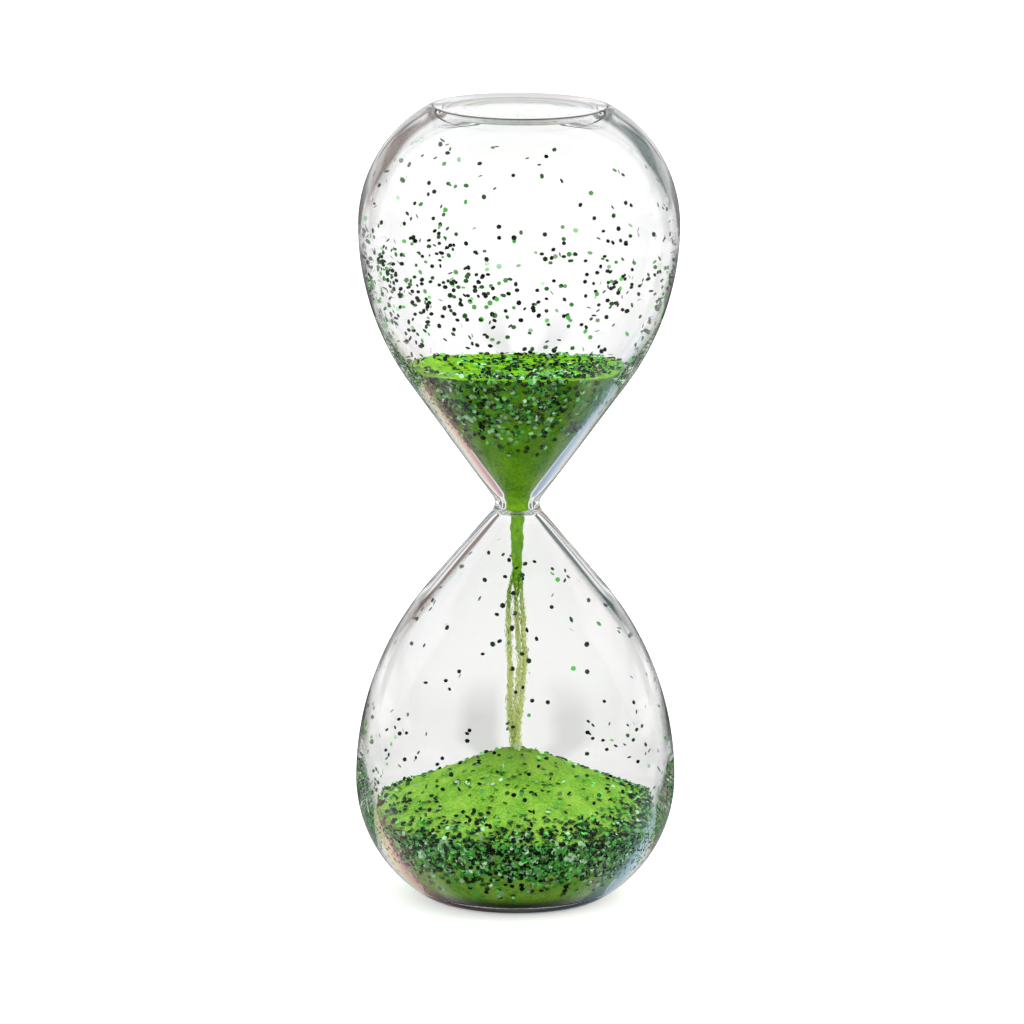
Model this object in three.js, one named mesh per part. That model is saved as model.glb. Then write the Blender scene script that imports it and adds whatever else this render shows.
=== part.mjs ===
// A frameless blown-glass hourglass, caught while its sand is running.
// Two glass bulbs join at a narrow neck, and a flat glass disc closes each end.
// Green sand and loose glitter flakes are sealed inside.
// Millimetres, +Z up, origin at the centre of the base face.

import * as THREE from "three";

// ---- Driving dimensions ----

const HEIGHT = 200;
const MAX_DIAMETER = 80;
const END_DIAMETER = 44;
const WAIST = HEIGHT / 2;
const FACETS = 40;

const BELLY_DISTANCE = 70; // from the waist to the widest place of each bulb
const UPPER_CONE_ANGLE = THREE.MathUtils.degToRad(36); // from the axis to the bulb's straight flank
const LOWER_CONE_ANGLE = THREE.MathUtils.degToRad(40);

const NECK_HALF_LENGTH = 8;
const DISC_THICKNESS = 2;
const BOND_THICKNESS = 0.3;
const MOUTH_DISTANCE = HEIGHT / 2 - DISC_THICKNESS - BOND_THICKNESS;

// Outside and inside of the glass. Each is a neck fillet, a straight cone, a belly arc and a shoulder arc.
const OUTSIDE = {
  neckRadius: 5.6,
  filletRadius: 3,
  bellyRadius: MAX_DIAMETER / 2,
  bellyDistance: BELLY_DISTANCE,
  endRadius: END_DIAMETER / 2,
  endDistance: HEIGHT / 2,
};
const INSIDE = {
  neckRadius: 3.1,
  filletRadius: 6,
  bellyRadius: MAX_DIAMETER / 2 - 1.4,
  bellyDistance: BELLY_DISTANCE - 3,
  endRadius: 19.5,
  endDistance: MOUTH_DISTANCE,
};

// The web of glass that meters the sand, just under the waist.
const ORIFICE_RADIUS = 2;
const WEB_TOP = WAIST - 2.4;
const WEB_THICKNESS = 0.9;

// The fill.
const CLEARANCE = 0.35; // between every two neighbouring pieces of the fill and the glass
const UPPER_SAND_TOP = 135;
const UPPER_SAND_DISH = 2.5;
const UPPER_LAYER_BOTTOM = 118;
const HEAP_CONTACT = 23;
const HEAP_PEAK = 37;
const HEAP_PEAK_ROUNDING = 5;
const LOWER_LAYER_BOTTOM = 10.5;
const LAYER_DEPTH = 2.2;

// The loose flakes that cling to the inside of the glass.
const FLAKE_RADIUS = 0.55;
const FLAKE_THICKNESS = 0.2;
const FLAKE_STANDOFF = 0.6;
const UPPER_FLAKES = { prefix: "glitter_flake_upper", count: 24, lowest: 139, highest: 191 };
const LOWER_FLAKES = { prefix: "glitter_flake_lower", count: 12, lowest: 30, highest: 82 };
const GOLDEN_ANGLE = Math.PI * (3 - Math.sqrt(5));

// ---- Materials ----

const standard = (color, roughness, metalness) => new THREE.MeshStandardMaterial({ color, roughness, metalness });

const glass = standard(0xe9eeec, 0.05, 0);
glass.transparent = true;
glass.opacity = 0.35;
const adhesive = standard(0xdfe6e0, 0.2, 0);
const sand = standard(0x78a82c, 0.9, 0);
const glitterLayer = standard(0x2f6a1c, 0.5, 0.3);
const glitterFlake = standard(0x16361c, 0.3, 0.9);

// ---- Outlines ----

/** Evenly spaced values from one end to the other, both included. */
function evenly(from, to, steps) {
  return Array.from({ length: steps + 1 }, (_, i) => from + ((to - from) * i) / steps);
}

/** One bulb's outline: its radius at a distance from the waist, and the distances where it needs a point. */
function bulbOutline(shape, coneAngle) {
  const { neckRadius, filletRadius, bellyRadius, bellyDistance, endRadius, endDistance } = shape;
  const sine = Math.sin(coneAngle);
  const tangent = Math.tan(coneAngle);
  const excess = 1 / Math.cos(coneAngle) - 1;
  const coneRadiusAtWaist = neckRadius - filletRadius * excess;
  const bellyArc = (coneRadiusAtWaist - bellyRadius + bellyDistance * tangent) / excess;
  const shoulderRise = endDistance - bellyDistance;
  const shoulderDrop = bellyRadius - endRadius;
  const shoulderArc = (shoulderDrop ** 2 + shoulderRise ** 2) / (2 * shoulderDrop);
  const coneStart = filletRadius * sine;
  const coneEnd = bellyDistance - bellyArc * sine;
  const arcDepth = (arc, offset) => arc - Math.sqrt(arc ** 2 - offset ** 2);

  function radiusAt(distance) {
    if (distance < coneStart) return neckRadius + arcDepth(filletRadius, distance);
    if (distance < coneEnd) return coneRadiusAtWaist + distance * tangent;
    const arc = distance < bellyDistance ? bellyArc : shoulderArc;
    return bellyRadius - arcDepth(arc, distance - bellyDistance);
  }

  const shoulderAngle = Math.asin(shoulderRise / shoulderArc);
  const stations = [
    ...evenly(0, coneAngle, 3).map((angle) => filletRadius * Math.sin(angle)),
    ...evenly(coneAngle, 0, 5).map((angle) => bellyDistance - bellyArc * Math.sin(angle)),
    ...evenly(0, shoulderAngle, 7).map((angle) => bellyDistance + shoulderArc * Math.sin(angle)),
  ];
  return { radiusAt, stations };
}

/** The outline of the whole vessel, by height above the base. */
function vesselOutline(shape) {
  const upper = bulbOutline(shape, UPPER_CONE_ANGLE);
  const lower = bulbOutline(shape, LOWER_CONE_ANGLE);
  const heights = [
    ...lower.stations.map((distance) => WAIST - distance).reverse(),
    ...upper.stations.map((distance) => WAIST + distance),
  ];
  const radiusAt = (z) => (z > WAIST ? upper.radiusAt(z - WAIST) : lower.radiusAt(WAIST - z));

  function slopeAt(z) {
    const step = 0.01;
    return (radiusAt(z + step) - radiusAt(z - step)) / (2 * step);
  }

  /** The point at one height, moved in from the outline by an inset measured square to it. */
  function pointAt(z, inset = 0) {
    const sideways = inset ? inset * Math.hypot(1, slopeAt(z)) : 0;
    return [radiusAt(z) - sideways, z];
  }

  /** The points between two heights, from the bottom up. */
  function between(low, high, inset = 0) {
    const shortest = 0.4;
    const inner = heights.filter((z) => z > low + shortest && z < high - shortest);
    return [low, ...inner, high].map((z) => pointAt(z, inset));
  }

  return { radiusAt, slopeAt, pointAt, between };
}

const outside = vesselOutline(OUTSIDE);
const inside = vesselOutline(INSIDE);

// ---- Pieces ----

/** A solid turned about Z. The profile is [radius, z] points, with the outer side running upwards. */
function turned(name, profile, material, facets = FACETS) {
  const onAxis = profile[0][0] === 0;
  const loop = onAxis ? profile : [...profile, profile[0]];
  const points = loop.map(([radius, z]) => new THREE.Vector2(radius, z));
  const geometry = new THREE.LatheGeometry(points, facets);
  geometry.rotateX(Math.PI / 2);
  const mesh = new THREE.Mesh(geometry, material);
  mesh.name = name;
  return mesh;
}

/** The glass of one bulb, from its neck end to its mouth. */
function bulb(name, low, high) {
  const profile = [...outside.between(low, high), ...inside.between(low, high).reverse()];
  return turned(name, profile, glass);
}

/** The waist of the glass, with the metering web across it. */
function neck() {
  const low = WAIST - NECK_HALF_LENGTH;
  const high = WAIST + NECK_HALF_LENGTH;
  const webBottom = WEB_TOP - WEB_THICKNESS;
  const profile = [
    ...outside.between(low, high),
    ...inside.between(WEB_TOP, high).reverse(),
    [ORIFICE_RADIUS, WEB_TOP],
    [ORIFICE_RADIUS, webBottom],
    ...inside.between(low, webBottom).reverse(),
  ];
  return turned("neck", profile, glass);
}

/** A flat disc that closes one end, its edge ground to the bulb's shoulder. */
function endDisc(name, low, high) {
  const profile = [[0, low], ...outside.between(low, high), [0, high]];
  return turned(name, profile, glass);
}

/** The film of clear adhesive between a bulb's mouth and its end disc. */
function bondRing(name, low, high) {
  const profile = [...outside.between(low, high), [INSIDE.endRadius, high], [INSIDE.endRadius, low]];
  return turned(name, profile, adhesive);
}

/** The sand still in the upper bulb, its top sunk into a shallow dish. */
function upperSand() {
  const bottom = WEB_TOP + CLEARANCE;
  const coreInset = LAYER_DEPTH + 2 * CLEARANCE;
  const stepHeight = UPPER_LAYER_BOTTOM - CLEARANCE;
  const rim = inside.pointAt(UPPER_SAND_TOP, coreInset)[0];
  const dish = evenly(0.8, 0.2, 3).map((share) => {
    const sink = UPPER_SAND_DISH * (1 - share ** 2);
    return [rim * share, UPPER_SAND_TOP - sink];
  });
  const profile = [
    [0, bottom],
    ...inside.between(bottom, stepHeight, CLEARANCE),
    ...inside.between(stepHeight, UPPER_SAND_TOP, coreInset),
    ...dish,
    [0, UPPER_SAND_TOP - UPPER_SAND_DISH],
  ];
  return turned("sand_upper", profile, sand);
}

/** The running sand, from the orifice to just above the heap. It thins as it falls, then scatters. */
function sandStream() {
  const bottom = HEAP_PEAK + CLEARANCE;
  const streamFacets = 16;
  const profile = [
    [0, bottom],
    [2.1, bottom],
    [2, 46],
    [2.5, 62],
    [1.9, 76],
    [1.3, 88],
    [ORIFICE_RADIUS - CLEARANCE, WEB_TOP - WEB_THICKNESS],
    [ORIFICE_RADIUS - CLEARANCE, WEB_TOP],
    [0, WEB_TOP],
  ];
  return turned("sand_stream", profile, sand, streamFacets);
}

/** The heap in the lower bulb: a cone with a rounded peak, flat where it lies on the base disc. */
function sandHeap() {
  const bottom = DISC_THICKNESS + CLEARANCE;
  const coreInset = LAYER_DEPTH + 2 * CLEARANCE;
  const stepHeight = LOWER_LAYER_BOTTOM - CLEARANCE;
  const rim = inside.pointAt(HEAP_CONTACT, coreInset)[0];
  const rounded = (radius) => Math.hypot(radius, HEAP_PEAK_ROUNDING) - HEAP_PEAK_ROUNDING;
  const steepness = (HEAP_PEAK - HEAP_CONTACT) / rounded(rim);
  const top = [0.75, 0.5, 0.3, 0.15, 0.07].map((share) => {
    const radius = rim * share;
    return [radius, HEAP_PEAK - steepness * rounded(radius)];
  });
  const profile = [
    [0, bottom],
    ...inside.between(bottom, stepHeight, CLEARANCE),
    ...inside.between(stepHeight, HEAP_CONTACT, coreInset),
    ...top,
    [0, HEAP_PEAK],
  ];
  return turned("sand_heap", profile, sand);
}

/** The glitter that has settled between a body of sand and the glass, as one ring. */
function glitterRing(name, low, high) {
  const innerInset = LAYER_DEPTH + CLEARANCE;
  const profile = [
    ...inside.between(low, high, CLEARANCE),
    ...inside.between(low, high, innerInset).reverse(),
  ];
  return turned(name, profile, glitterLayer);
}

/** Six-sided flakes lying along the inside of the glass, spread by the golden angle. */
function glitterFlakes({ prefix, count, lowest, highest }) {
  const axis = new THREE.Vector3(0, 1, 0);
  const clearOfGlass = FLAKE_STANDOFF + FLAKE_THICKNESS / 2;
  return evenly(lowest, highest, count - 1).map((z, i) => {
    const angle = i * GOLDEN_ANGLE;
    const outward = new THREE.Vector3(Math.cos(angle), Math.sin(angle), -inside.slopeAt(z)).normalize();
    const flake = new THREE.Mesh(
      new THREE.CylinderGeometry(FLAKE_RADIUS, FLAKE_RADIUS, FLAKE_THICKNESS, 6),
      glitterFlake,
    );
    flake.name = `${prefix}_${String(i + 1).padStart(2, "0")}`;
    flake.position.setFromCylindricalCoords(inside.radiusAt(z), Math.PI / 2 - angle, 0);
    flake.position.set(flake.position.x, flake.position.z, z);
    flake.position.addScaledVector(outward, -clearOfGlass);
    flake.quaternion.setFromUnitVectors(axis, outward);
    return flake;
  });
}

// ---- Assembly ----

const hourglass = new THREE.Group();

const vessel = new THREE.Group();
vessel.add(
  endDisc("base_end_disc", 0, DISC_THICKNESS),
  bondRing("base_bond_ring", DISC_THICKNESS, DISC_THICKNESS + BOND_THICKNESS),
  bulb("lower_bulb", WAIST - MOUTH_DISTANCE, WAIST - NECK_HALF_LENGTH),
  neck(),
  bulb("upper_bulb", WAIST + NECK_HALF_LENGTH, WAIST + MOUTH_DISTANCE),
  bondRing("top_bond_ring", HEIGHT - DISC_THICKNESS - BOND_THICKNESS, HEIGHT - DISC_THICKNESS),
  endDisc("top_end_disc", HEIGHT - DISC_THICKNESS, HEIGHT),
);

const fill = new THREE.Group();
fill.add(
  upperSand(),
  glitterRing("glitter_layer_upper", UPPER_LAYER_BOTTOM, UPPER_SAND_TOP),
  sandStream(),
  sandHeap(),
  glitterRing("glitter_layer_lower", LOWER_LAYER_BOTTOM, HEAP_CONTACT),
);

const flakes = new THREE.Group();
flakes.add(...glitterFlakes(UPPER_FLAKES), ...glitterFlakes(LOWER_FLAKES));

hourglass.add(vessel, fill, flakes);

export default hourglass;
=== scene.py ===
import math

import bpy
import numpy as np
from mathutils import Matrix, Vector


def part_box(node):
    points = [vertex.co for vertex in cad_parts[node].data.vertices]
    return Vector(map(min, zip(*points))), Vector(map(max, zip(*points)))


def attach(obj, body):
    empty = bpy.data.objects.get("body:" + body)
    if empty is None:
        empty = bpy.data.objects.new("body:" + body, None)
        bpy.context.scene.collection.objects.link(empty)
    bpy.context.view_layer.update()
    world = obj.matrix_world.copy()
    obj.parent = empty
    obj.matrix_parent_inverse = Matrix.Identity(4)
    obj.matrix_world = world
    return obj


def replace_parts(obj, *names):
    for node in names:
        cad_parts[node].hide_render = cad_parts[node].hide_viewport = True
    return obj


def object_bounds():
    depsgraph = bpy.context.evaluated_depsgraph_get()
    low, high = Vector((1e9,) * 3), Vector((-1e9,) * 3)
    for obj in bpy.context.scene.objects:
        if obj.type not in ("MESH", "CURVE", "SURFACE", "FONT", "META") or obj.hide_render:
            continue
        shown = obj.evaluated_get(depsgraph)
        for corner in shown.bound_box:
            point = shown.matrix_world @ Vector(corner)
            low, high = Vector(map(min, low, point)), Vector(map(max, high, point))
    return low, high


# The looks of a frameless glass hourglass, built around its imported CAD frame.
# Shapes are worked out in millimetres and stored in metres; z is height above the base.

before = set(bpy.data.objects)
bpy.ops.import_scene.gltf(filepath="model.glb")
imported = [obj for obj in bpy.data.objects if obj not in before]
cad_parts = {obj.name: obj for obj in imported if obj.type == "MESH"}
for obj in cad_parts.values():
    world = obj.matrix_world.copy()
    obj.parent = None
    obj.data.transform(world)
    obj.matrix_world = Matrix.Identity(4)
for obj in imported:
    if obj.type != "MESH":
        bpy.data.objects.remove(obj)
cad_low, cad_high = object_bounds()

MM = 0.001
TAU = 2 * math.pi
rng = np.random.default_rng(20)


def node_levels(node):
    """Heights of the bottom and the top of a CAD node, in millimetres."""
    low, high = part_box(node)
    return low[2] / MM, high[2] / MM


# ---- Driving dimensions ----

HEIGHT = (cad_high.z - cad_low.z) / MM
WAIST = HEIGHT / 2
BELLY_RADIUS = cad_high.x / MM
BELLY_WALL = 1.1
END_RADIUS = 22.0
EDGE_ROUNDING = 0.9
NECK_REACH = 10.0  # how far the finely drawn neck reaches above and below the waist
BLOWN_IN = 0.002  # the share by which the uneven glass is drawn in, to stay inside the CAD box

# Radii, with distances along the axis from the waist. Each cone is given by its angle to the axis.
OUTSIDE = dict(
    neck=5.6, fillet=3.0, belly=BELLY_RADIUS, belly_distance=70.0, end=END_RADIUS, end_distance=HEIGHT / 2,
)
UPPER_OUTSIDE = dict(cone=math.radians(36), **OUTSIDE)
LOWER_OUTSIDE = dict(cone=math.radians(40), **OUTSIDE)
INSIDE = dict(neck=3.1, fillet=6.0, belly=BELLY_RADIUS - BELLY_WALL)
UPPER_INSIDE = dict(cone=math.radians(37.5), belly_distance=66.0, end=15.0, end_distance=97.8, **INSIDE)
LOWER_INSIDE = dict(cone=math.radians(40), belly_distance=64.5, end=21.3, end_distance=98.4, **INSIDE)
GLASS_FLOOR = 1.2
GLASS_CEILING = HEIGHT - 1.6

# Sections of the adhesive inside the glass of each end, as radius and height, going round anticlockwise.
TOP_BOND = [(21.2, HEIGHT - 1.4), (21.5, HEIGHT - 1.4), (21.5, HEIGHT - 1.0), (21.2, HEIGHT - 1.0)]
# The base's ring is the adhesive, drawn tall and near-black as a painted shadow under the sand at the foot.
BASE_BOND_AND_PAINTED_SHADOW = [(20.0, 0.3), (22.1, 0.3), (24.2, 2.5), (22.9, 2.5)]

# The web of glass that meters the sand, just under the waist.
ORIFICE_RADIUS = 2.0
ORIFICE_HEIGHT = node_levels("sand_stream")[1]
WEB_THICKNESS = 0.5
WEB_MARGIN = 0.6  # above and below the web, where the wall curves into it

# The sand. The CAD rings of glitter show where it meets the glass.
upper_ring, lower_ring = node_levels("glitter_layer_upper"), node_levels("glitter_layer_lower")
UPPER_SAND_TOP = upper_ring[1] - 1.2
UPPER_SAND_TILT = 2.4  # the settled surface is this much higher at the front, and lower at the back
UPPER_SAND_DISH = 2.5
HEAP_CONTACT = lower_ring[1] - 2
HEAP_PEAK = node_levels("sand_heap")[1]
HEAP_ROUNDING = 5.0
SETTLING_DEPTH = 12.0  # how far below its rim the sand's side still follows the tilt of its surface
SAND_GAP = 0.4  # between the sand and the glass, where flakes lie
SAND_BUMPS = [(9, 0.2), (2.6, 0.08)]  # length and height of the surface's bumps, from large to small

# Painted shade on the heap's sand, as height and brightness: a painted shadow dark at the foot, brightest
# low down, shaded duller towards the peak.
HEAP_PAINTED_SHADE = [(1.6, 0.02), (4, 0.08), (6.4, 1), (14, 1), (19, 0.63), (30, 0.63), (35, 0.42), (37, 0.34)]

# The stream: a solid thread down to its tip, and strands of grains from their root down to the heap.
THREAD_TIP = 76.0
STRANDS_ROOT = 83.0
GRAIN_RADIUS = 0.11
GRAIN_STRETCH = 3.5

# The glitter.
UPPER_BAND_LOW = upper_ring[0]
LOWER_BAND_LOW = lower_ring[0] - 1
FLAKE_RADIUS = 0.62
FLAKE_THICKNESS = 0.06
BAND_FLAKE_GAP = 0.22  # from the glass to a flake pressed between sand and glass
CLINGING_FLAKE_GAP = 0.5  # from the glass to a flake that clings loosely

TURN_STEPS = 160


# ---- Outlines ----

def bulb_radius(distance, cone, neck, fillet, belly, belly_distance, end, end_distance):
    """Radius of a bulb at distances from the waist: neck fillet, straight cone, belly arc, shoulder arc."""
    excess = 1 / math.cos(cone) - 1
    at_waist = neck - fillet * excess
    belly_arc = (at_waist - belly + belly_distance * math.tan(cone)) / excess
    rise, drop = end_distance - belly_distance, belly - end
    shoulder_arc = (drop ** 2 + rise ** 2) / (2 * drop)

    def depth(arc, offset):
        return arc - np.sqrt(np.maximum(arc ** 2 - offset ** 2, 0))

    return np.select(
        [
            distance < fillet * math.sin(cone),
            distance < belly_distance - belly_arc * math.sin(cone),
            distance < belly_distance,
        ],
        [
            neck + depth(fillet, distance),
            at_waist + distance * math.tan(cone),
            belly - depth(belly_arc, distance - belly_distance),
        ],
        belly - depth(shoulder_arc, distance - belly_distance),
    )


def radius_at(z, upper_shape, lower_shape):
    """Radius of the vessel's outline at heights above the base, for both bulbs."""
    z = np.asarray(z, float)
    distance = np.abs(z - WAIST)
    upper = bulb_radius(distance, **upper_shape)
    lower = bulb_radius(distance, **lower_shape)
    return np.where(z > WAIST, upper, lower)


def outside_radius(z):
    return radius_at(z, UPPER_OUTSIDE, LOWER_OUTSIDE)


def inside_radius(z):
    return radius_at(z, UPPER_INSIDE, LOWER_INSIDE)


def heights(low, high, step=1.5, neck_step=0.4, least=0.25):
    """Heights to sample between two levels, closer together round the neck."""
    coarse = np.arange(low, high, step)
    fine = np.arange(max(low, WAIST - NECK_REACH), min(high, WAIST + NECK_REACH), neck_step)
    both = np.unique(np.round(np.concatenate([coarse, fine, [high]]), 3))
    keep = np.append(np.diff(both) > least, True)
    return both[keep]


def corner(start, bend, end, steps=6):
    """A smooth corner from start to end, drawn towards bend."""
    t = np.linspace(0, 1, steps + 1)[:, None]
    start, bend, end = (np.array(p, float) for p in (start, bend, end))
    return (1 - t) ** 2 * start + 2 * t * (1 - t) * bend + t ** 2 * end


def outer_profile():
    """The outside of the glass, from the centre of the base to the centre of the top."""
    edge = EDGE_ROUNDING
    rim = corner((END_RADIUS - edge, 0), (END_RADIUS, 0), (outside_radius(edge), edge))
    base = np.vstack([[[0, 0], [8, 0], [16, 0]], rim])
    z = heights(edge + 1, HEIGHT - edge - 1)
    side = np.column_stack([outside_radius(z), z])
    top = base[::-1] * (1, -1) + (0, HEIGHT)
    return np.vstack([base, side, top])


def web_profile(foot, head):
    """The web that narrows the neck to the orifice, from the wall below it to the wall above it."""
    under, over = ORIFICE_HEIGHT - WEB_THICKNESS, ORIFICE_HEIGHT
    lip = ORIFICE_RADIUS + 0.15
    lip_bend = (ORIFICE_RADIUS - 0.1, under + WEB_THICKNESS / 2)
    return [
        corner((inside_radius(foot), foot), (inside_radius(under) - 0.1, under), (3.0, under), 4),
        corner((lip, under), lip_bend, (lip, over), 4),
        corner((2.6, over), (3.3, over), (inside_radius(head), head), 4),
    ]


def inner_profile():
    """The inside of the glass, from the cavity's floor, past the narrow orifice, to its ceiling."""
    low, high = GLASS_FLOOR + 2.4, GLASS_CEILING - 1.4
    foot, head = ORIFICE_HEIGHT - WEB_THICKNESS - 0.5, ORIFICE_HEIGHT + 0.5
    lower_side = heights(low + 0.8, foot - 0.3)
    upper_side = heights(head + 0.3, high - 0.8)
    return np.vstack([
        [[0, GLASS_FLOOR], [9, GLASS_FLOOR]],
        corner((18, GLASS_FLOOR), (20.8, GLASS_FLOOR), (inside_radius(low), low), 8),
        np.column_stack([inside_radius(lower_side), lower_side]),
        *web_profile(foot, head),
        np.column_stack([inside_radius(upper_side), upper_side]),
        corner((inside_radius(high), high), (13, GLASS_CEILING), (8, GLASS_CEILING), 8),
        [[0, GLASS_CEILING]],
    ])


def without_web(profile):
    """The plain wall of the cavity: the profile without the web, and without its two ends on the axis."""
    z = profile[:, 1]
    in_web = (z > ORIFICE_HEIGHT - WEB_THICKNESS - WEB_MARGIN) & (z < ORIFICE_HEIGHT + WEB_MARGIN)
    return profile[~in_web][1:-1]


def inset(profile, by):
    """The profile moved towards the axis, square to itself. It runs from the bottom up."""
    along = np.gradient(profile, axis=0)
    along /= np.linalg.norm(along, axis=1)[:, None]
    moved = profile + by * np.column_stack([-along[:, 1], along[:, 0]])
    moved[:, 0] = np.maximum(moved[:, 0], 0)
    return moved


INNER = inner_profile()
WALL = without_web(INNER)
SAND_WALL = inset(WALL[1:], SAND_GAP)


def wall_radius(z):
    """Radius of the cavity at a height."""
    return np.interp(z, WALL[:, 1], WALL[:, 0])


def sand_wall_radius(z):
    """Radius of the sand that lies against the glass at a height."""
    return np.interp(z, SAND_WALL[:, 1], SAND_WALL[:, 0])


def wall_slope(z, reach=0.2):
    """How fast the cavity's radius grows with height."""
    return (wall_radius(z + reach) - wall_radius(z - reach)) / (2 * reach)


# ---- Meshes ----

def mesh_piece(name, points, faces, materials, slot, smooth=True):
    """A piece of the hourglass from points in millimetres. It rides on the one body."""
    mesh = bpy.data.meshes.new(name)
    mesh.from_pydata((np.asarray(points, float) * MM).tolist(), [], faces)
    mesh.polygons.foreach_set("use_smooth", [smooth] * len(mesh.polygons))
    mesh.update()
    piece = bpy.data.objects.new(name, mesh)
    bpy.context.scene.collection.objects.link(piece)
    for material in materials:
        mesh.materials.append(material)
    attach(piece, "root")
    return piece


def ring_faces(lower, upper, steps):
    """Faces between two rings of points, each given by the number of its first point."""
    following = [(j + 1) % steps for j in range(steps)]
    return [(lower + j, lower + k, upper + k, upper + j) for j, k in enumerate(following)]


def turned_grid(profile, steps=TURN_STEPS, wave=None):
    """Points and faces of a profile turned about the axis. Its two ends close on the axis."""
    rings = profile[1:-1]
    angles = np.arange(steps) * TAU / steps
    r = rings[:, :1] * np.ones(steps)
    z = rings[:, 1:] * np.ones(steps)
    bottom, top = [0, 0, profile[0][1]], [0, 0, profile[-1][1]]
    if wave is not None:
        r, z = wave(r, z, angles[None, :])
        bottom[2] = z[0].mean() + profile[0][1] - rings[0][1]
        top[2] = z[-1].mean() + profile[-1][1] - rings[-1][1]
    points = np.stack([r * np.cos(angles), r * np.sin(angles), z], axis=-1).reshape(-1, 3)
    centre_below, centre_above = len(points), len(points) + 1
    points = np.vstack([points, [bottom, top]])
    last_ring = (len(rings) - 1) * steps
    faces = []
    for start in range(0, last_ring, steps):
        faces += ring_faces(start, start + steps, steps)
    for j in range(steps):
        k = (j + 1) % steps
        faces.append((centre_below, k, j))
        faces.append((centre_above, last_ring + j, last_ring + k))
    return points, faces


def joined(*parts):
    """Several sets of points and faces as one."""
    points, faces, start = [], [], 0
    for more_points, more_faces in parts:
        points.append(more_points)
        faces += [tuple(start + i for i in face) for face in more_faces]
        start += len(more_points)
    return np.vstack(points), faces


# ---- Shader nodes ----

def grey(value):
    return value, value, value


class NodeTree:
    """The nodes of a material or a world. Inputs take a number, a colour or another node's output."""

    def __init__(self, owner):
        owner.use_nodes = True
        self.nodes, self.links = owner.node_tree.nodes, owner.node_tree.links
        self.nodes.clear()

    def add(self, kind, inputs=None, **settings):
        """A new node. Its settings come first, because they decide which inputs it has."""
        node = self.nodes.new(kind)
        for setting, value in settings.items():
            setattr(node, setting, value)
        for key, value in (inputs or {}).items():
            self.feed(node.inputs[key], value)
        return node

    def feed(self, socket, value):
        """Link an output to an input, or set the input to a number or an opaque colour."""
        if isinstance(value, bpy.types.NodeSocket):
            self.links.new(value, socket)
        elif isinstance(value, tuple):
            socket.default_value = (*value, 1)
        else:
            socket.default_value = value

    def maths(self, operation, *values):
        return self.add("ShaderNodeMath", dict(enumerate(values)), operation=operation).outputs[0]

    def mixed(self, blending, factor, a, b):
        """Two colours blended."""
        inputs = {"Factor": factor, "A": a, "B": b}
        return self.add("ShaderNodeMix", inputs, data_type="RGBA", blend_type=blending).outputs["Result"]

    def either(self, factor, first, second):
        """The first shader where factor is 0, and the second where it is 1."""
        return self.add("ShaderNodeMixShader", {0: factor, 1: first, 2: second}).outputs[0]

    def ramp(self, value, stops, interpolation="LINEAR"):
        """A value from 0 to 1 turned into colours. A plain number among the stops is a grey."""
        node = self.add("ShaderNodeValToRGB", {0: value})
        node.color_ramp.interpolation = interpolation
        elements = node.color_ramp.elements
        while len(elements) < len(stops):
            elements.new(0.5)
        for element, (position, colour) in zip(elements, stops):
            element.position = position
            element.color = (*(colour if isinstance(colour, tuple) else grey(colour)), 1)
        return node.outputs[0]

    def graded(self, value, low, high, stops):
        """A ramp whose stops are given in the value's own range."""
        spread = high - low
        within = self.maths("MULTIPLY_ADD", value, 1 / spread, -low / spread)
        return self.ramp(within, [((at - low) / spread, colour) for at, colour in stops])


# ---- Materials ----

def new_material(name, inputs):
    """A material with the given inputs of its principled shader, its node tree, and its surface's socket."""
    material = bpy.data.materials.new(name)
    tree = NodeTree(material)
    surface = tree.add("ShaderNodeOutputMaterial").inputs["Surface"]
    shader = tree.add("ShaderNodeBsdfPrincipled", inputs)
    tree.feed(surface, shader.outputs["BSDF"])
    return material, tree, shader, surface


def glass_material(name, colour):
    """Clear glass. Lamps and scattered light pass straight through it to the sand."""
    inputs = {"Base Color": colour, "Roughness": 0.0, "IOR": 1.47, "Transmission Weight": 1.0}
    material, tree, shader, surface = new_material(name, inputs)
    path = tree.add("ShaderNodeLightPath").outputs
    scattered = tree.maths("MAXIMUM", path["Is Shadow Ray"], path["Is Diffuse Ray"])
    clear = tree.add("ShaderNodeBsdfTransparent", {"Color": (0.96, 0.965, 0.96)})
    tree.feed(surface, tree.either(scattered, shader.outputs["BSDF"], clear.outputs["BSDF"]))
    return material


def adhesive_material(name, dark, pale):
    """Cured adhesive, cloudy in places."""
    material, tree, shader, _ = new_material(name, {"Roughness": 0.4})
    place = tree.add("ShaderNodeTexCoord").outputs["Object"]
    cloud = tree.add("ShaderNodeTexNoise", {"Vector": place, "Scale": 90})
    tree.feed(shader.inputs["Base Color"], tree.ramp(cloud.outputs["Fac"], [(0.35, dark), (0.7, pale)]))
    return material


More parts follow.
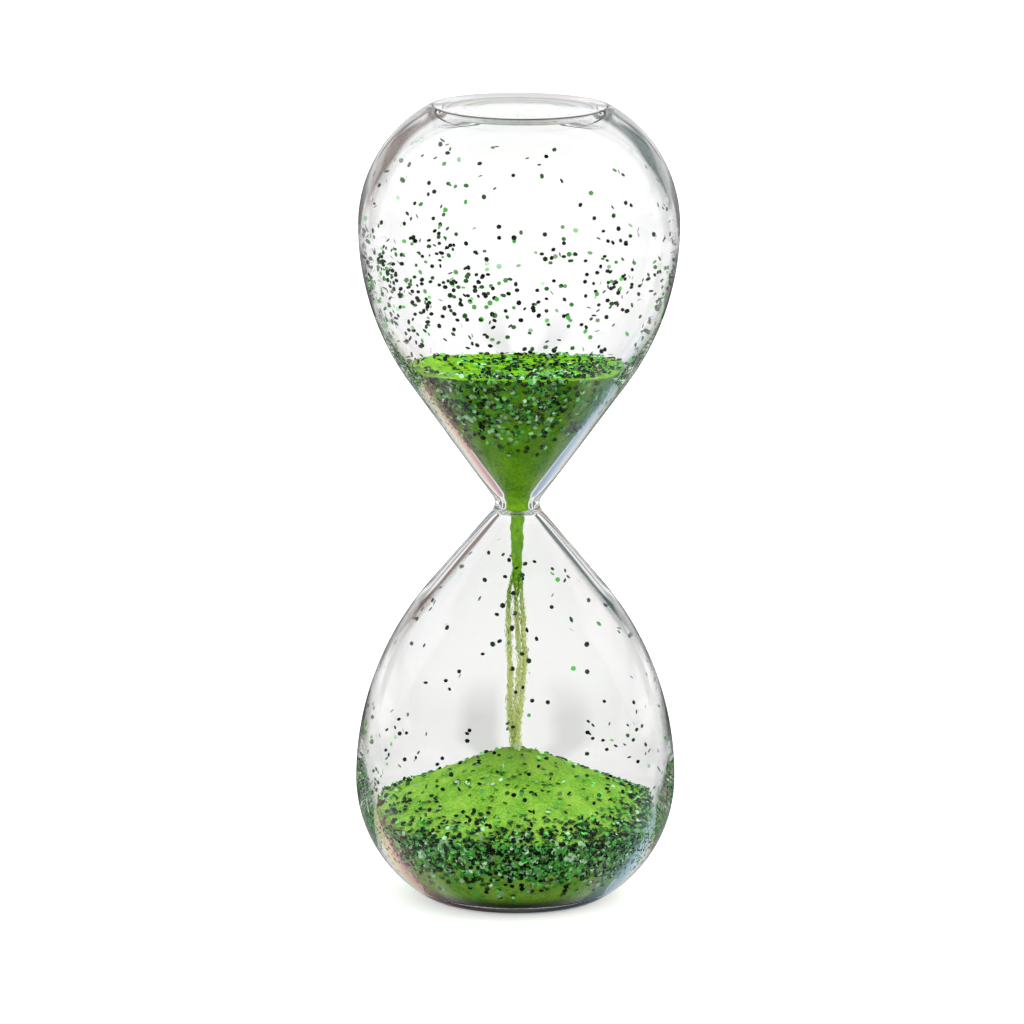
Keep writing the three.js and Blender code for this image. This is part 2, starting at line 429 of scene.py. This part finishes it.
def sand_material(name, dark, middle, light, painted_shade_by_height=((0, 1),)):
    """Dyed sand: fine grains of three greens, drifting lighter and darker over a few millimetres, with
    painted shade by height where stops for it are given.
    """
    material, tree, shader, _ = new_material(name, {"Roughness": 0.85, "Specular IOR Level": 0.04})
    place = tree.add("ShaderNodeTexCoord").outputs["Object"]
    grain = tree.add("ShaderNodeTexVoronoi", {"Vector": place, "Scale": 3200})
    drift = tree.add("ShaderNodeTexNoise", {"Vector": place, "Scale": 160, "Detail": 5})
    speck = tree.add("ShaderNodeSeparateColor", {0: grain.outputs["Color"]})
    shade = tree.maths("MULTIPLY_ADD", speck.outputs[0], 0.45, drift.outputs["Fac"])
    greens = tree.ramp(shade, [(0.45, dark), (0.7, middle), (1.0, light)])
    # Painted shade: the colour is darkened by height, as the stops give it.
    level = tree.add("ShaderNodeSeparateXYZ", {0: place}).outputs["Z"]
    share = tree.maths("DIVIDE", level, HEIGHT * MM)
    painted_height_shade = tree.ramp(share, [(z / HEIGHT, brightness) for z, brightness in painted_shade_by_height])
    tree.feed(shader.inputs["Base Color"], tree.mixed("MULTIPLY", 1, greens, painted_height_shade))
    bump = {"Strength": 0.6, "Distance": 0.15 * MM, "Height": grain.outputs["Distance"]}
    tree.feed(shader.inputs["Normal"], tree.add("ShaderNodeBump", bump).outputs[0])
    return material


def glitter_material(name, stops, metallic=0.9):
    """Metallised film. Each flake takes a random value from the mesh, which the stops turn into its colour;
    the palest stops are painted glints.
    """
    material, tree, shader, _ = new_material(name, {"Metallic": metallic, "Roughness": 0.25})
    shade = tree.add("ShaderNodeAttribute", attribute_name="flake_shade").outputs["Fac"]
    tree.feed(shader.inputs["Base Color"], tree.ramp(shade, stops, "CONSTANT"))
    return material


# ---- The glass ----

def blown(r, z, angle):
    """Blown glass strays a little from an even circle, most at the belly."""
    wander = 0.06 * np.sin(2 * angle + 0.03 * z) + 0.04 * np.sin(3 * angle - 0.05 * z + 1.3)
    return r * (1 - BLOWN_IN) + wander * np.clip(r / BELLY_RADIUS, 0, 1) ** 2, z


def glass_vessel(clear, painted_shade_glass):
    """The bulbs, neck, web and closed ends as one fused wall of blown glass. Below the neck its glass is
    tinted grey as painted shade.
    """
    outer = turned_grid(outer_profile(), wave=blown)
    inner_points, inner_faces = turned_grid(INNER, wave=blown)
    inner = inner_points, [face[::-1] for face in inner_faces]
    piece = mesh_piece("glass_vessel", *joined(outer, inner), [clear, painted_shade_glass], "glass")
    below_neck = (WAIST - 4) * MM
    lower = [int(face.center.z < below_neck) for face in piece.data.polygons]
    piece.data.polygons.foreach_set("material_index", lower)
    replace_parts(piece, "upper_bulb", "neck", "lower_bulb", "top_end_disc", "base_end_disc")


def bond_ring(name, node, section, adhesive):
    """The cured adhesive under a closed end: a section, in radius and height, turned about the axis."""
    angles = np.arange(TURN_STEPS) * TAU / TURN_STEPS
    points = [(r * math.cos(a), r * math.sin(a), z) for r, z in section for a in angles]
    faces = []
    for i in range(len(section)):
        following = (i + 1) % len(section)
        faces += ring_faces(i * TURN_STEPS, following * TURN_STEPS, TURN_STEPS)
    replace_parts(mesh_piece(name, points, faces, [adhesive], "adhesive"), node)


# ---- The sand ----

def ripple(x, y, size, height, seed):
    """A soft random height, made of a few waves in different directions."""
    waves = np.random.default_rng(seed)
    count = 7
    total = np.zeros_like(x)
    for _ in range(count):
        turn, phase = waves.uniform(0, TAU, 2)
        length = size * waves.uniform(0.6, 1.6)
        total += np.sin((x * math.cos(turn) + y * math.sin(turn)) * TAU / length + phase)
    return height * total / count ** 0.5


def heap_height(r):
    """Height of the heap's surface at a radius: a cone with a rounded peak."""
    rim = sand_wall_radius(HEAP_CONTACT)
    steepness = (HEAP_PEAK - HEAP_CONTACT) / (math.hypot(rim, HEAP_ROUNDING) - HEAP_ROUNDING)
    return HEAP_PEAK - steepness * (np.hypot(r, HEAP_ROUNDING) - HEAP_ROUNDING)


def upper_surface_height(r):
    """Height of the upper sand's surface at a radius, before it tilts: a shallow dish."""
    rim = sand_wall_radius(UPPER_SAND_TOP)
    return UPPER_SAND_TOP - UPPER_SAND_DISH * (1 - (r / rim) ** 2)


def tilt_of_upper_sand(r, angle):
    """How far the upper sand's surface is lifted by its tilt."""
    return -UPPER_SAND_TILT * np.sin(angle) * r / sand_wall_radius(UPPER_SAND_TOP)


def unevenness_of_heap(r, angle):
    """How far the heap's surface strays from an even cone."""
    wander = 0.5 * np.sin(2 * angle + 0.6) + 0.4 * np.sin(5 * angle + 2.1) + 0.25 * np.sin(9 * angle)
    return wander * np.clip(r / sand_wall_radius(HEAP_CONTACT), 0, 1) ** 2


def sand_body(name, low, top_z, surface, tilt, seed, material):
    """Loose sand against the glass, up to a surface given by its height at each radius."""
    rim = float(sand_wall_radius(top_z))
    z = np.append(np.arange(low + 0.3, top_z, 0.8), top_z)
    side = np.column_stack([sand_wall_radius(z), z])
    r = np.linspace(rim, 0, 44)[1:]
    top = np.column_stack([r, surface(r)])
    floor = np.array([[0, low], [side[0][0] * 0.9, low]])

    def settled(r, z, angle):
        """The surface tilted and bumpy, with its rim and side still following the glass."""
        x, y = r * np.cos(angle), r * np.sin(angle)
        on_top = z > surface(r) - 0.4
        shifted = np.clip((z - top_z + SETTLING_DEPTH) / SETTLING_DEPTH, 0, 1)
        lift = tilt(r, angle) * np.where(on_top, 1, shifted)
        bumps = sum(ripple(x, y, *bump, seed + i) for i, bump in enumerate(SAND_BUMPS))
        bumps *= on_top * np.clip((rim + 0.3 - r) / 2, 0, 1)
        follow = sand_wall_radius(z + lift) / sand_wall_radius(z)
        hug = np.clip(r / rim, 0, 1) ** 4
        return r * np.where(on_top, 1 + (follow - 1) * hug, follow), z + lift + bumps

    points, faces = turned_grid(np.vstack([floor, side, top]), wave=settled)
    return mesh_piece(name, points, faces, [material], "sand")


def sand_upper(material):
    """The dished and tilted sand that is left in the upper bulb."""
    low, top = ORIFICE_HEIGHT + SAND_GAP, UPPER_SAND_TOP
    piece = sand_body("sand_in_upper_bulb", low, top, upper_surface_height, tilt_of_upper_sand, 3, material)
    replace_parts(piece, "sand_upper")


def sand_heap(material):
    """The heap in the lower bulb."""
    low, top = GLASS_FLOOR + 0.2, HEAP_CONTACT
    piece = sand_body("sand_heap_below", low, top, heap_height, unevenness_of_heap, 5, material)
    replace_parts(piece, "sand_heap")


def grain_mesh(centres):
    """Long eight-sided grains at the given centres."""
    corners = np.array([[1, 0, 0], [0, 1, 0], [-1, 0, 0], [0, -1, 0], [0, 0, 1], [0, 0, -1]], float)
    corners[:, 2] *= GRAIN_STRETCH
    sides = [(0, 1, 4), (1, 2, 4), (2, 3, 4), (3, 0, 4), (1, 0, 5), (2, 1, 5), (3, 2, 5), (0, 3, 5)]
    turn = rng.uniform(0, TAU, len(centres))
    size = GRAIN_RADIUS * rng.uniform(0.7, 1.3, len(centres))
    x = corners[:, 0] * np.cos(turn)[:, None] - corners[:, 1] * np.sin(turn)[:, None]
    y = corners[:, 0] * np.sin(turn)[:, None] + corners[:, 1] * np.cos(turn)[:, None]
    z = corners[:, 2] * np.ones_like(x)
    points = np.stack([x, y, z], axis=-1) * size[:, None, None] + centres[:, None, :]
    faces = [tuple(len(corners) * i + c for c in side) for i in range(len(centres)) for side in sides]
    return points.reshape(-1, 3), faces, len(sides)


def sand_thread(solid):
    """The solid thread of sand that leaves the orifice and thins to a tip."""
    top = ORIFICE_HEIGHT + 0.3
    z = np.linspace(THREAD_TIP, top, 34)
    r = np.interp(z, [THREAD_TIP, 80, 88, 95, top], [0.5, 0.95, 1.4, 1.6, 1.6])
    profile = np.vstack([[[0, THREAD_TIP - 0.8]], np.column_stack([r, z]), [[0, top]]])

    def wavering(r, z, angle):
        return r * (1 + 0.12 * np.sin(3 * angle + z) + 0.08 * np.sin(5 * angle - 1.7 * z)), z

    thread = turned_grid(profile, steps=28, wave=wavering)
    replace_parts(mesh_piece("sand_thread", *thread, [solid], "sand", smooth=False), "sand_stream")


def strand(side, phase, count):
    """Places of the grains of one strand, which weaves down to the heap on its side of the stream."""
    foot = HEAP_PEAK
    fall = foot - 1 + (STRANDS_ROOT - foot) * rng.uniform(0, 1, count) ** 1.15
    spread = np.interp(fall, [foot, 55, 64, 72, 78, 82], [1.0, 1.2, 2.3, 2.0, 1.1, 0.5])
    wander = np.interp(fall, [foot, 70, 82], [0.36, 0.34, 0.15])
    x = side * spread + 0.5 * np.sin(0.22 * fall + phase) + wander * rng.normal(0, 1, count)
    y = 0.9 * np.cos(0.17 * fall + phase) + rng.normal(0, 0.5, count)
    return np.column_stack([x, y, fall])


def falling_sand(loose, solid):
    """Three strands of loose grains, green near the thread and mostly pale lower down; the pale is painted
    light, for light through the thin strands.
    """
    centres = np.vstack([strand(-1, 0.0, 3800), strand(1, 1.9, 3200), strand(0.2, 0.9, 2200)])
    points, faces, sides = grain_mesh(centres)
    piece = mesh_piece("falling_sand", points, faces, [loose, solid], "sand", smooth=False)
    green_share = np.interp(centres[:, 2], [40, 60, 72, 81], [0.02, 0.04, 0.2, 0.85])
    green = rng.uniform(0, 1, len(centres)) < green_share
    piece.data.polygons.foreach_set("material_index", np.repeat(green.astype(np.int32), sides))


# ---- The glitter ----

def flake_mesh(name, centres, outward, tilt, films, painted_glint_share, slot="glitter_flake"):
    """Thin six-sided flakes at the given centres, lying square to outward but for a random tilt.

    The films are a plain one and a bright one, a lit copy painted with glints; the given share of the flakes
    take the bright one.
    """
    count = len(centres)
    lean = outward + tilt * rng.normal(0, 1, (count, 3))
    lean /= np.linalg.norm(lean, axis=1)[:, None]
    across = np.cross(lean, rng.normal(0, 1, (count, 3)))
    across /= np.linalg.norm(across, axis=1)[:, None]
    other = np.cross(lean, across)
    size = FLAKE_RADIUS * rng.uniform(0.85, 1.15, count)
    sides = 6
    corners = 2 * sides
    points = np.empty((count, corners, 3))
    for k in range(sides):
        turn = k * TAU / sides
        ray = size[:, None] * (math.cos(turn) * across + math.sin(turn) * other)
        points[:, k] = centres + ray - lean * FLAKE_THICKNESS / 2
        points[:, k + sides] = centres + ray + lean * FLAKE_THICKNESS / 2
    underside, topside = tuple(reversed(range(sides))), tuple(range(sides, corners))
    one = [underside, topside, *ring_faces(0, sides, sides)]
    faces = [tuple(corners * i + c for c in face) for i in range(count) for face in one]
    piece = mesh_piece(name, points.reshape(-1, 3), faces, films, slot, smooth=False)
    shade = piece.data.attributes.new("flake_shade", "FLOAT", "FACE")
    shade.data.foreach_set("value", np.repeat(rng.uniform(0, 1, count), len(one)).astype(np.float32))
    bright = (rng.uniform(0, 1, count) < painted_glint_share).astype(np.int32)
    piece.data.polygons.foreach_set("material_index", np.repeat(bright, len(one)))
    return piece


def on_wall(z, angle, gap):
    """Points a gap inside the glass, with their outward directions."""
    slope = wall_slope(z)
    outward = np.column_stack([np.cos(angle), np.sin(angle), -slope])
    outward /= np.linalg.norm(outward, axis=1)[:, None]
    r = wall_radius(z)
    return np.column_stack([r * np.cos(angle), r * np.sin(angle), z]) - gap * outward, outward


def leftward(count):
    """Random directions about the axis, rather more of them to the left."""
    angle = rng.uniform(0, TAU, count)
    return angle + 0.35 * np.sin(angle)


def glitter_on_glass(films):
    """Flakes that cling to the bare glass: loose groups of them near the sand, and others scattered."""
    upper_low, lower_low = UPPER_SAND_TOP + 4, HEAP_CONTACT + 3
    group_spread = 3.0
    for name, crowded, scattered, low, high, crowd_high in (
        ("glitter_on_upper_glass", 560, 190, upper_low, 193, upper_low + 36),
        ("glitter_on_lower_glass", 90, 110, lower_low, 90, lower_low + 22),
    ):
        groups = crowded // 2
        group_z = rng.triangular(low, low + (crowd_high - low) * 0.3, crowd_high, groups)
        pick = rng.integers(0, groups, crowded)
        crowd_z = np.clip(group_z[pick] + rng.normal(0, group_spread, crowded), low, high)
        group_angle = leftward(groups)
        crowd_angle = group_angle[pick] + rng.normal(0, group_spread, crowded) / wall_radius(crowd_z)
        z = np.concatenate([crowd_z, rng.uniform(low, high, scattered)])
        angle = np.concatenate([crowd_angle, leftward(scattered)])
        centres, outward = on_wall(z, angle, CLINGING_FLAKE_GAP)
        flake_mesh(name, centres, outward, 0.4, films, painted_glint_share=0.12)


def glitter_in_stream(films):
    """The few flakes that fall just in front of the sand."""
    count = 15
    z = rng.uniform(HEAP_PEAK + 3, ORIFICE_HEIGHT - 4, count)
    x = rng.uniform(-2.4, 2.0, count)
    y = -1.9 - rng.uniform(0, 0.5, count)
    outward = np.tile([0.0, -1.0, 0.2], (count, 1))
    flake_mesh("glitter_in_stream", np.column_stack([x, y, z]), outward, 0.5, films, painted_glint_share=0.1)


def patchy(angle, sparse_from, sparse_to):
    """Which of the angles to keep, so that few flakes lie between two directions.

    The directions are in degrees, turning from the front to the right. The opposite side is sparse too.
    """
    from_front = (np.degrees(angle) + 90) % 180
    sparse = (from_front > sparse_from) & (from_front < sparse_to)
    return ~sparse | (rng.uniform(0, 1, len(angle)) < 0.3)


def glitter_bands(films):
    """The dark layers of flakes pressed between the sand and the glass, one in each bulb."""
    upper = UPPER_BAND_LOW, UPPER_SAND_TOP, tilt_of_upper_sand
    lower = LOWER_BAND_LOW, HEAP_CONTACT + 0.4, unevenness_of_heap
    for name, node, count, (low, high, shift), sparse in (
        ("glitter_band_upper", "glitter_layer_upper", 2600, upper, (28, 85)),
        ("glitter_band_lower", "glitter_layer_lower", 4800, lower, (80, 100)),
    ):
        z = rng.normal((low + high) / 2 + 1.5, (high - low) / 3, count)
        z = np.where(z > high, high - rng.uniform(0, 3, count), z)
        z = np.maximum(z, low - 3)
        angle = rng.uniform(0, TAU, count)
        keep = patchy(angle, *sparse)
        z, angle = z[keep], angle[keep]
        z = z + shift(wall_radius(z), angle) * np.clip((z - low + 6) / SETTLING_DEPTH, 0, 1)
        centres, outward = on_wall(z, angle, BAND_FLAKE_GAP)
        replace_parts(flake_mesh(name, centres, outward, 0.25, films, 0.36, "glitter_layer"), node)


def glitter_on_sand(films):
    """Flakes strewn over both sand surfaces, with more of them to the right."""
    upper = upper_surface_height, tilt_of_upper_sand, UPPER_SAND_TOP
    heap = heap_height, unevenness_of_heap, HEAP_CONTACT
    for name, count, (surface, tilt, top_z), inward, crowd in (
        ("glitter_on_upper_sand", 1500, upper, 0.55, 0.7),
        ("glitter_on_heap", 640, heap, 0.6, 0.35),
        ("glitter_round_heap_foot", 2100, heap, 0.10, 0.45),
    ):
        rim = sand_wall_radius(top_z) - 0.2
        r = rim * (1 - np.abs(rng.normal(0, inward, count)))
        angle = rng.uniform(0, TAU, count)
        dense = 0.45 + 0.5 * crowd * np.cos(angle) + 0.3 * np.abs(np.sin(angle))
        keep = (r > 4) & (rng.uniform(0, 1, count) < dense)
        r, angle = r[keep], angle[keep]
        height = surface(r) + tilt(r, angle) + 0.3
        centres = np.column_stack([r * np.cos(angle), r * np.sin(angle), height])
        upright = np.column_stack([np.zeros_like(r), np.zeros_like(r), np.ones_like(r)])
        flake_mesh(name, centres, upright, 0.5, films, painted_glint_share=0.25)


# ---- Stage, light and camera ----

def floor_material():
    """A pale matt floor. It throws less light up to the sand, and rays in the glass pass through it."""
    material, tree, shader, surface = new_material("pale_floor", {
        "Base Color": grey(0.93),
        "Roughness": 0.9,
        "Emission Color": grey(1),
        "Emission Strength": 0.35,
    })
    path = tree.add("ShaderNodeLightPath").outputs
    dull = tree.add("ShaderNodeBsdfDiffuse", {"Color": grey(0.24)}).outputs["BSDF"]
    clear = tree.add("ShaderNodeBsdfTransparent").outputs["BSDF"]
    to_sand = tree.either(path["Is Diffuse Ray"], shader.outputs["BSDF"], dull)
    bends = tree.maths("ADD", path["Glossy Depth"], path["Transmission Depth"])
    in_glass = tree.maths("GREATER_THAN", bends, 0.5)
    tree.feed(surface, tree.either(in_glass, to_sand, clear))
    return material


def stage_floor():
    """A wide round floor, just under the base."""
    mesh = bpy.data.meshes.new("floor")
    steps, radius, drop = 64, 12.0, -0.0002
    angles = [k * TAU / steps for k in range(steps)]
    ring = [(radius * math.cos(a), radius * math.sin(a), drop) for a in angles]
    mesh.from_pydata(ring, [], [tuple(range(steps))])
    mesh.materials.append(floor_material())
    floor = bpy.data.objects.new("floor", mesh)
    bpy.context.scene.collection.objects.link(floor)


def area_light(name, place, size, power):
    """A soft box that lights the middle of the hourglass and isn't seen in the glass."""
    data = bpy.data.lights.new(name, "AREA")
    data.shape = "RECTANGLE"
    data.size, data.size_y = size
    data.energy = power
    light = bpy.data.objects.new(name, data)
    bpy.context.scene.collection.objects.link(light)
    light.location = place
    middle = Vector((0, 0, WAIST * MM))
    light.rotation_euler = (middle - Vector(place)).to_track_quat("-Z", "Y").to_euler()
    light.visible_glossy = False
    light.visible_transmission = False


def room_walls(tree, x, z, to_right):
    """The left and right walls of the mirrored room, from straight down to straight up."""
    below = (-1, 0.06), (-0.90, 0.1), (-0.80, 0.85)
    low = (-0.42, 0.95), (0.16, 1.05)
    high = (0.43, 0.9), (1, 1)
    thin_line = (0.335, 1), (0.35, 0.25), (0.4, 0.25)

    def wall(*between):
        """A wall with other stops between its low and its high ones."""
        return tree.graded(z, -1, 1, [*below, *low, *between, *high])

    def dark_stripe(colour):
        """The stripe that the shoulders of the glass mirror."""
        return wall((0.20, colour), (0.36, colour))

    shoulders = tree.mixed("MIX", to_right, dark_stripe((0.2, 0.15, 0.13)), dark_stripe((0.09, 0.13, 0.13)))
    sideways = tree.graded(tree.maths("ABSOLUTE", x), 0, 1, [(0.12, 0), (0.17, 1)])
    return tree.mixed("MIX", sideways, wall(*thin_line), shoulders)


def flank_tints(tree, y, z, to_right):
    """Tinted panels low down, mirrored along the flanks of the cones, with the directions they cover."""
    warm = (-0.72, (0.5, 0.32, 0.42)), (-0.58, (0.8, 0.45, 0.54)), (-0.48, (0.95, 0.88, 0.5))
    cool = (-0.72, (0.4, 0.42, 0.58)), (-0.58, (0.42, 0.54, 0.72)), (-0.48, (0.58, 0.8, 0.85))

    def panel(colours):
        return tree.graded(z, -1, 0, [(-0.78, 1), *colours, (-0.42, 1)])

    tints = tree.mixed("MIX", to_right, panel(warm), panel(cool))
    ahead = tree.graded(y, -1, 1, [(0.2, 0), (0.35, 1)])
    flank = tree.graded(tree.maths("MULTIPLY_ADD", z, -1.9, y), -3, 3, [(1.5, 0), (1.6, 1)])
    return tints, tree.maths("MULTIPLY", ahead, flank)


def upright_gaps(tree, walls, x, y, z):
    """Dark gaps between soft boxes all round the room, at two levels."""
    around = tree.maths("COSINE", tree.maths("MULTIPLY", tree.maths("ARCTAN2", x, y), 4))
    soft_box = tree.graded(around, -1, 1, [(-0.94, 1), (-0.80, 0.2)])
    gap_level = tree.graded(z, -1, 1, [(-0.29, 0), (-0.26, 1), (-0.09, 1), (-0.05, 0)])
    walls = tree.mixed("MULTIPLY", gap_level, walls, soft_box)
    rim_light = tree.graded(around, -1, 1, [
        (-0.94, 0.12),
        (-0.88, 1),
        (0.00, 1),
        (0.20, 0.3),
        (0.94, 0.3),
        (0.98, 1),
    ])
    rim_level = tree.graded(z, -1, 1, [(0.02, 0), (0.05, 1), (0.18, 1), (0.21, 0)])
    return tree.mixed("MULTIPLY", rim_level, walls, rim_light)


def mirrored_room(tree, path, x, y, z):
    """The room of soft boxes and dark gaps that only mirrored rays see."""
    to_right = tree.graded(x, -1, 1, [(-0.08, 0), (0.08, 1)])
    walls = room_walls(tree, x, z, to_right)
    tints, where = flank_tints(tree, y, z, to_right)
    walls = tree.mixed("MULTIPLY", where, walls, tints)
    walls = upright_gaps(tree, walls, x, y, z)

    # Mirrored once, the room would veil the sand, so it is dimmer then, mostly on the near side.
    near_side = tree.graded(y, -1, 1, [(-0.95, 0.1), (-0.3, 0.25), (0.2, 0.35), (0.5, 1)])
    mirrored_once = tree.maths("LESS_THAN", path["Glossy Depth"], 1.5)
    shallow = tree.maths("LESS_THAN", path["Transmission Depth"], 2.5)
    dimmed = tree.mixed("MULTIPLY", tree.maths("MULTIPLY", mirrored_once, shallow), walls, near_side)

    # The outermost surface mirrors little from below and from above.
    outermost = tree.maths("LESS_THAN", path["Transmission Depth"], 0.5)
    middle = tree.graded(z, -1, 1, [(-0.04, 0.3), (0.02, 1), (0.8, 1), (0.9, 0.2)])
    return tree.mixed("MULTIPLY", outermost, dimmed, middle)


def sweep_behind(tree, x, z):
    """The white sweep behind the glass. It darkens towards the floor, with soft upright bands."""
    bands = tree.graded(x, -0.02, 0.02, [
        (-0.0085, 0.95),
        (-0.0058, 0.74),
        (-0.0026, 0.75),
        (-0.0010, 0.96),
        (0.0016, 0.98),
        (0.0050, 0.96),
        (0.0074, 0.78),
        (0.0102, 0.79),
        (0.0130, 0.94),
    ])
    low_down = tree.graded(z, -0.3, 0, [(-0.24, 1), (-0.165, 0)])
    return tree.mixed("MIX", low_down, grey(1), bands)


def studio_world():
    """What rays that leave the scene meet: the sweep, the mirrored room, or light from overhead."""
    world = bpy.data.worlds.new("studio")
    bpy.context.scene.world = world
    tree = NodeTree(world)
    path = tree.add("ShaderNodeLightPath").outputs
    direction = tree.add("ShaderNodeTexCoord").outputs["Generated"]
    x, y, z = tree.add("ShaderNodeSeparateXYZ", {0: direction}).outputs

    def background(colour, strength=1.0):
        return tree.add("ShaderNodeBackground", {"Color": colour, "Strength": strength}).outputs[0]

    sweep = background(sweep_behind(tree, x, z), 1.16)
    room = background(mirrored_room(tree, path, x, y, z))
    overhead = background(tree.graded(z, -1, 1, [(-0.05, 0.15), (0, 0.8), (0.35, 1.15), (1, 1.7)]))
    unmirrored = tree.either(path["Is Diffuse Ray"], sweep, overhead)
    mirrored = tree.maths("GREATER_THAN", path["Glossy Depth"], 0.5)
    output = tree.add("ShaderNodeOutputWorld")
    tree.feed(output.inputs["Surface"], tree.either(mirrored, unmirrored, room))


def photo_camera():
    """A long lens a little above the object, turned a touch off level."""
    distance, rise, aside, aim_height = 1.8, 0.457, -0.0013, 0.0976
    data = bpy.data.cameras.new("camera")
    data.lens = 259
    data.sensor_width = 36
    data.clip_start = 0.05
    data.clip_end = 50
    camera = bpy.data.objects.new("camera", data)
    bpy.context.scene.collection.objects.link(camera)
    camera.location = (aside, -distance, rise)
    aim = Vector((aside, 0, aim_height)) - camera.location
    camera.rotation_euler = aim.to_track_quat("-Z", "Y").to_euler()
    camera.rotation_euler.rotate_axis("Z", math.radians(0.4))
    bpy.context.scene.camera = camera


def render_settings():
    """Plain colours, and enough bounces for light to leave the thick glass."""
    scene = bpy.context.scene
    scene.view_settings.view_transform = "Standard"
    scene.cycles.max_bounces = 64
    scene.cycles.transmission_bounces = 64
    scene.cycles.glossy_bounces = 64
    scene.cycles.transparent_max_bounces = 24


# ---- Assembly ----

clear_glass = glass_material("clear_glass", (0.996, 0.998, 0.997))
# The lower glass is the same glass tinted grey: painted shade.
lower_glass_painted_shade = glass_material("lower_glass_painted_shade", (0.946, 0.945, 0.943))
brown_bond = adhesive_material("cured_adhesive", (0.04, 0.03, 0.025), (0.12, 0.1, 0.085))
# The base's adhesive is coloured near-black as a painted shadow under the sand.
base_bond_painted_shadow = adhesive_material("adhesive_and_painted_shadow", (0.006, 0.01, 0.003), (0.02, 0.032, 0.008))
green_sand = sand_material("green_sand", (0.1, 0.33, 0.001), (0.19, 0.51, 0.004), (0.32, 0.68, 0.02))
# The heap's greens are a lighter copy of the sand's, painted light, and its material adds painted shade by
# height.
lit_heap_greens = (0.18, 0.53, 0.036), (0.36, 0.8, 0.072), (0.56, 0.98, 0.13)
lit_shaded_heap_sand = sand_material("lit_shaded_heap_sand", *lit_heap_greens, HEAP_PAINTED_SHADE)
# Pale greens painted light: the falling grains are the same sand, lit as if light passed through the thin
# strands.
pale_sand_painted_light = sand_material("falling_sand", (0.78, 0.88, 0.26), (0.9, 0.97, 0.42), (0.96, 1.0, 0.58))
# The palest stops of these films are painted glints.
dark_film = glitter_material("dark_film", [
    (0.00, (0.008, 0.02, 0.008)),
    (0.45, (0.02, 0.07, 0.015)),
    (0.70, (0.05, 0.2, 0.04)),
    (0.85, (0.15, 0.5, 0.12)),
    (0.95, (0.45, 0.8, 0.4)),
])
green_film = glitter_material("green_film", [
    (0.00, (0.006, 0.018, 0.006)),
    (0.50, (0.02, 0.11, 0.018)),
    (0.70, (0.07, 0.34, 0.06)),
    (0.84, (0.3, 0.8, 0.26)),
    (0.94, (0.7, 0.98, 0.65)),
])
# Painted glints: a lit copy of the glitter, bright green and barely metallic, for flakes that catch the
# light.
painted_glint_film = glitter_material("painted_glint_film", [
    (0.00, (0.1, 0.62, 0.07)),
    (0.45, (0.18, 0.88, 0.13)),
    (0.75, (0.55, 0.98, 0.55)),
], metallic=0.2)
loose_films = [dark_film, painted_glint_film]
crowded_films = [green_film, painted_glint_film]

glass_vessel(clear_glass, lower_glass_painted_shade)
bond_ring("top_bond", "top_bond_ring", TOP_BOND, brown_bond)
bond_ring("base_bond", "base_bond_ring", BASE_BOND_AND_PAINTED_SHADOW, base_bond_painted_shadow)
sand_upper(green_sand)
sand_heap(lit_shaded_heap_sand)
sand_thread(green_sand)
falling_sand(pale_sand_painted_light, green_sand)
glitter_on_glass(loose_films)
glitter_in_stream(loose_films)
glitter_bands(crowded_films)
glitter_on_sand(crowded_films)
for node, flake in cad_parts.items():
    if node.startswith("glitter_flake"):
        flake.data.materials.clear()
        flake.data.materials.append(dark_film)

stage_floor()
area_light("key", place=(1.2, -0.6, 1.6), size=(0.9, 0.9), power=8)
area_light("fill", place=(-1.4, -1.0, 0.9), size=(1.0, 1.4), power=2)
studio_world()
photo_camera()
render_settings()
